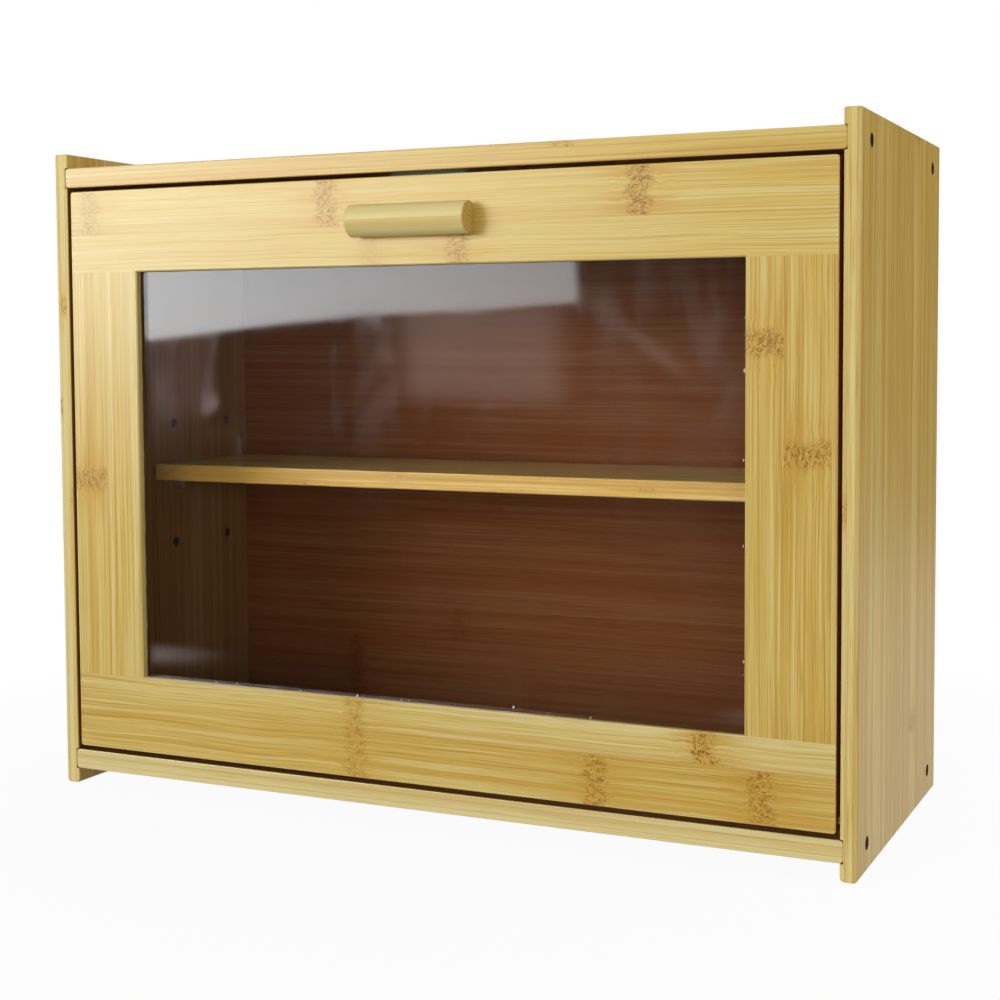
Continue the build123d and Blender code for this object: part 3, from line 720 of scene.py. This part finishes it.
class BREADBIN_OT_glue(bpy.types.Operator):
    """Lay the uneven glue bead behind the pane and the specks that it squeezed out"""

    bl_idname = "breadbin.glue"
    bl_label = "Glue bead and specks"

    def execute(self, context):
        white = moulded("dried_glue", (0.52, 0.48, 0.44), 0.4)
        bead = self.bead()
        specks = self.specks()
        for piece in (bead, specks):
            piece.data.materials.append(white)
            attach(piece, "door")
        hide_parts("pane_glue_bead")
        return {"FINISHED"}

    def bead(self):
        """A ring of glue round the window, first flat and then rounded and uneven."""
        low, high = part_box("pane_glue_bead")
        middle = (low + high) / 2
        start_fresh()
        bpy.ops.mesh.primitive_plane_add(size=1.0, location=(middle.x, low.y, middle.z), rotation=UPRIGHT)
        bead = bpy.context.object
        bead.name = "pane_glue_ring"
        bead.scale = (high.x - low.x, high.z - low.z, 1.0)
        settle()
        bpy.ops.object.mode_set(mode="EDIT")
        bpy.ops.mesh.select_mode(type="FACE")
        bpy.ops.mesh.select_all(action="SELECT")
        bpy.ops.mesh.inset(thickness=BEAD_WIDTH)
        bpy.ops.mesh.delete(type="FACE")
        bpy.ops.object.mode_set(mode="OBJECT")
        return self.round_bead(bead, low, high)

    def round_bead(self, bead, low, high):
        """Gives the flat ring its thickness, a rounded top and an uneven surface."""
        solid = bead.modifiers.new("thickness", "SOLIDIFY")
        solid.thickness = (high.y - low.y) * BEAD_FULLNESS
        solid.offset = -1.0
        cells = bead.modifiers.new("cells", "REMESH")
        cells.mode = "VOXEL"
        cells.voxel_size = BEAD_CELL
        smooth = bead.modifiers.new("rounding", "SMOOTH")
        smooth.iterations = 3
        lumps = bpy.data.textures.new("glue_lumps", "CLOUDS")
        lumps.noise_scale = BEAD_LUMP
        uneven = bead.modifiers.new("unevenness", "DISPLACE")
        uneven.texture = lumps
        uneven.strength = BEAD_LUMP_HEIGHT
        uneven.mid_level = BEAD_LUMP_LEVEL
        for modifier in list(bead.modifiers):
            bpy.ops.object.modifier_apply(modifier=modifier.name)
        bpy.ops.object.shade_smooth()
        return bead

    def specks(self):
        """Flattened drops beside the right and lower edges of the window."""
        pane = settings()[1]
        draw = random.Random(SPECK_SEED)
        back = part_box("window_pane")[1].y
        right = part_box("door_right_stile")[0].x
        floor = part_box("door_bottom_rail")[1].z
        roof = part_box("door_top_rail")[0].z
        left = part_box("door_left_stile")[1].x
        places = []
        for _ in range(SPECKS_RIGHT):
            places.append((right - abs(draw.gauss(0, SPREAD_RIGHT)), draw.uniform(floor, roof)))
        for _ in range(SPECKS_LOWER):
            places.append((draw.uniform(left, right), floor + abs(draw.gauss(0, SPREAD_LOWER))))
        start_fresh()
        drops = []
        for x, z in places:
            radius = pane.glue_speck * draw.uniform(0.25, 1.0)
            place = (x, back + SPECK_LIFT, z)
            bpy.ops.mesh.primitive_ico_sphere_add(subdivisions=2, radius=radius, location=place)
            drop = bpy.context.object
            drop.scale = (draw.uniform(0.6, 1.0), 0.3, draw.uniform(0.8, 1.9))
            drops.append(drop)
        bpy.ops.object.select_all(action="DESELECT")
        for drop in drops:
            drop.select_set(True)
        bpy.context.view_layer.objects.active = drops[0]
        bpy.ops.object.join()
        specks = bpy.context.object
        specks.name = "pane_glue_specks"
        settle()
        bpy.ops.object.shade_smooth()
        return specks


class BREADBIN_OT_fixings(bpy.types.Operator):
    """Finish the screws, hinge pins, strike plate and magnetic catch"""

    bl_idname = "breadbin.fixings"
    bl_label = "Metal fixings and catch"

    def execute(self, context):
        bright = brushed_metal("zinc_plated_steel", (0.74, 0.74, 0.73), 0.24)
        for group in ("panel_screws_left", "panel_screws_right", "handle_screws", "strike_screws",
                      "catch_screws"):
            paint(group, bright)
        pins = brushed_metal("hinge_pin_steel", (0.52, 0.48, 0.43), 0.34)
        for node in ("hinge_pin_left", "hinge_pin_right"):
            paint(node, pins)
        plates = brushed_metal("nickel_plate", (0.60, 0.59, 0.56), 0.28)
        for node in ("strike_plate", "catch_pole_plates"):
            paint(node, plates)
        paint("catch_case", moulded("catch_plastic", (0.36, 0.40, 0.33), 0.5))
        paint("catch_magnet", moulded("ferrite", (0.035, 0.035, 0.037), 0.55))
        return {"FINISHED"}


class BREADBIN_OT_stage(bpy.types.Operator):
    """Set up the floor, the studio lamps and the camera"""

    bl_idname = "breadbin.stage"
    bl_label = "Stage, lamps and camera"

    def execute(self, context):
        scene = context.scene
        scene.view_settings.view_transform = "Standard"
        self.floor()
        self.room()
        self.lamps()
        self.cards()
        self.camera()
        return {"FINISHED"}

    def floor(self):
        """A pale round floor that fades to plain white away from the bin, and keeps its shadow."""
        stage = settings()[2]
        start_fresh()
        bpy.ops.mesh.primitive_circle_add(
            vertices=96, radius=stage.floor_radius, fill_type="NGON", location=(0, 0, -FLOOR_DROP)
        )
        floor = bpy.context.object
        floor.name = "floor"
        settle()
        material, g = new_material("pale_floor")
        coords, (x, y, _) = g.place()
        reach = g.math("SQRT", g.add(g.times(x, x), g.times(y, y)))
        grain = g.noise(coords.outputs["Object"], scale=60.0, detail=3.0)
        colour = g.mix(grain, (0.52, 0.52, 0.52), (0.56, 0.56, 0.56))
        plain = g.node("BsdfDiffuse", {"Color": colour})
        white = g.node("Emission", {"Color": (1.0, 1.0, 1.0, 1.0), "Strength": 1.0})
        share = g.times(seen_rays(g), g.between(reach, *FLOOR_FADE, 0.95, 1.0))
        mixed = g.node("MixShader", {0: share, 1: plain.outputs[0], 2: white.outputs[0]})
        g.finish(mixed.outputs[0])
        floor.data.materials.append(material)

    def room(self):
        """Even light from all round, and white where it is looked at."""
        stage = settings()[2]
        world = bpy.data.worlds.new("studio")
        bpy.context.scene.world = world
        g = Graph(world)
        light = g.node("Background", {"Color": (*stage.ambient, 1.0), "Strength": 1.0})
        white = g.node("Background", {"Color": (1.0, 1.0, 1.0, 1.0), "Strength": 1.0})
        mixed = g.node("MixShader", {0: seen_rays(g), 1: light.outputs[0], 2: white.outputs[0]})
        g.node("OutputWorld", {"Surface": mixed.outputs[0]})

    def lamps(self):
        """A large softbox at the front left, a fill at the right, and lamps overhead, beside and behind."""
        stage = settings()[2]
        for name, place, target, width, height, mirrored in LAMPS:
            lamp = area_lamp(name, place, target, width, height, getattr(stage, name + "_power"))
            lamp.visible_glossy = mirrored
            if name == "softbox":
                lamp.data.color = SOFTBOX_COLOUR

    def cards(self):
        """What the lacquer and the pane mirror: the softbox's face and a dim room, seen by nothing else."""
        for row in CARDS:
            card(*row)

    def camera(self):
        """The camera, a little above the bin's middle and to its right."""
        stage = settings()[2]
        data = bpy.data.cameras.new("camera")
        data.lens = stage.lens
        data.sensor_width = SENSOR_WIDTH
        data.shift_x, data.shift_y = CAMERA_SHIFT
        camera = bpy.data.objects.new("camera", data)
        bpy.context.scene.collection.objects.link(camera)
        camera.matrix_world = (
            Matrix.Translation(CAMERA_PLACE)
            @ Matrix.Rotation(CAMERA_TURN, 4, "Z")
            @ Matrix.Rotation(math.pi / 2 - CAMERA_DIP, 4, "X")
            @ Matrix.Rotation(CAMERA_TILT, 4, "Z")
        )
        bpy.context.scene.camera = camera


def seen_rays(g):
    """1 for rays that look, from the camera, a mirror or clear sheet, and 0 once they carry light to wood."""
    rays = g.node("LightPath")
    looks = g.math("MAXIMUM", rays.outputs["Is Camera Ray"], rays.outputs["Is Glossy Ray"])
    looks = g.math("MAXIMUM", looks, rays.outputs["Is Transmission Ray"])
    early = g.math("LESS_THAN", rays.outputs["Ray Depth"], LAST_SEEN_BOUNCE)
    return g.times(looks, early, g.math("LESS_THAN", rays.outputs["Diffuse Depth"], 0.5))


def area_lamp(name, place, target, width, height, power):
    """A rectangular lamp that shines at the target."""
    data = bpy.data.lights.new(name, "AREA")
    data.shape = "RECTANGLE"
    data.size = width
    data.size_y = height
    data.energy = power
    lamp = bpy.data.objects.new(name, data)
    bpy.context.scene.collection.objects.link(lamp)
    lamp.location = place
    lamp.rotation_mode = "QUATERNION"
    lamp.rotation_quaternion = (Vector(target) - Vector(place)).to_track_quat("-Z", "Y")
    return lamp


def card(name, place, turn, width, height, left, right, soft):
    """A card that shows only in reflections, shaded from left to right; soft is a share of its size."""
    start_fresh()
    bpy.ops.mesh.primitive_plane_add(size=1.0, location=place, rotation=turn)
    made = bpy.context.object
    made.name = name
    made.scale = (width, height, 1.0)
    settle()
    made.visible_camera = False
    made.visible_diffuse = False
    made.visible_shadow = False
    material, g = new_material(name + "_face")
    u, v, _ = g.node("SeparateXYZ", {"Vector": g.node("TexCoord").outputs["UV"]}).outputs
    shader = g.node("Emission", {"Color": g.mix(u, left, right), "Strength": 1.0}).outputs[0]
    rays = g.node("LightPath")
    first = g.math("SUBTRACT", rays.outputs["Is Glossy Ray"], rays.outputs["Is Transmission Ray"])
    second = g.math("GREATER_THAN", rays.outputs["Ray Depth"], LAST_SEEN_BOUNCE)
    shape = g.math("MAXIMUM", first, second)
    if soft:
        shape = g.times(shape, g.near(u, 0.5, 0.5 - soft, soft), g.near(v, 0.5, 0.5 - soft, soft))
    clear = g.node("BsdfTransparent").outputs[0]
    g.finish(g.node("MixShader", {0: shape, 1: clear, 2: shader}).outputs[0])
    made.data.materials.append(material)


class BREADBIN_PT_panel(bpy.types.Panel):
    """Lists the bin's operators in the sidebar"""

    bl_idname = "BREADBIN_PT_panel"
    bl_label = "Bread Bin"
    bl_space_type = "VIEW_3D"
    bl_region_type = "UI"
    bl_category = "Bread Bin"

    def draw(self, context):
        column = self.layout.column()
        for operator in OPERATORS:
            column.operator(operator.bl_idname)


GROUPS = {
    "breadbin_wood": BREADBIN_PG_wood,
    "breadbin_pane": BREADBIN_PG_pane,
    "breadbin_stage": BREADBIN_PG_stage,
}
OPERATORS = (
    BREADBIN_OT_carcass,
    BREADBIN_OT_door,
    BREADBIN_OT_shelf,
    BREADBIN_OT_handle,
    BREADBIN_OT_pane,
    BREADBIN_OT_glue,
    BREADBIN_OT_fixings,
    BREADBIN_OT_stage,
)
CLASSES = (*GROUPS.values(), *OPERATORS, BREADBIN_PT_panel)


def register():
    for cls in CLASSES:
        bpy.utils.register_class(cls)
    for name, group in GROUPS.items():
        setattr(bpy.types.Scene, name, bpy.props.PointerProperty(type=group))


def unregister():
    for name in GROUPS:
        delattr(bpy.types.Scene, name)
    for cls in reversed(CLASSES):
        bpy.utils.unregister_class(cls)


def main():
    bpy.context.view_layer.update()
    register()
    bpy.ops.breadbin.carcass()
    bpy.ops.breadbin.door()
    bpy.ops.breadbin.shelf()
    bpy.ops.breadbin.handle()
    bpy.ops.breadbin.pane()
    bpy.ops.breadbin.glue()
    bpy.ops.breadbin.fixings()
    bpy.ops.breadbin.stage()


if __name__ == "__main__":
    main()
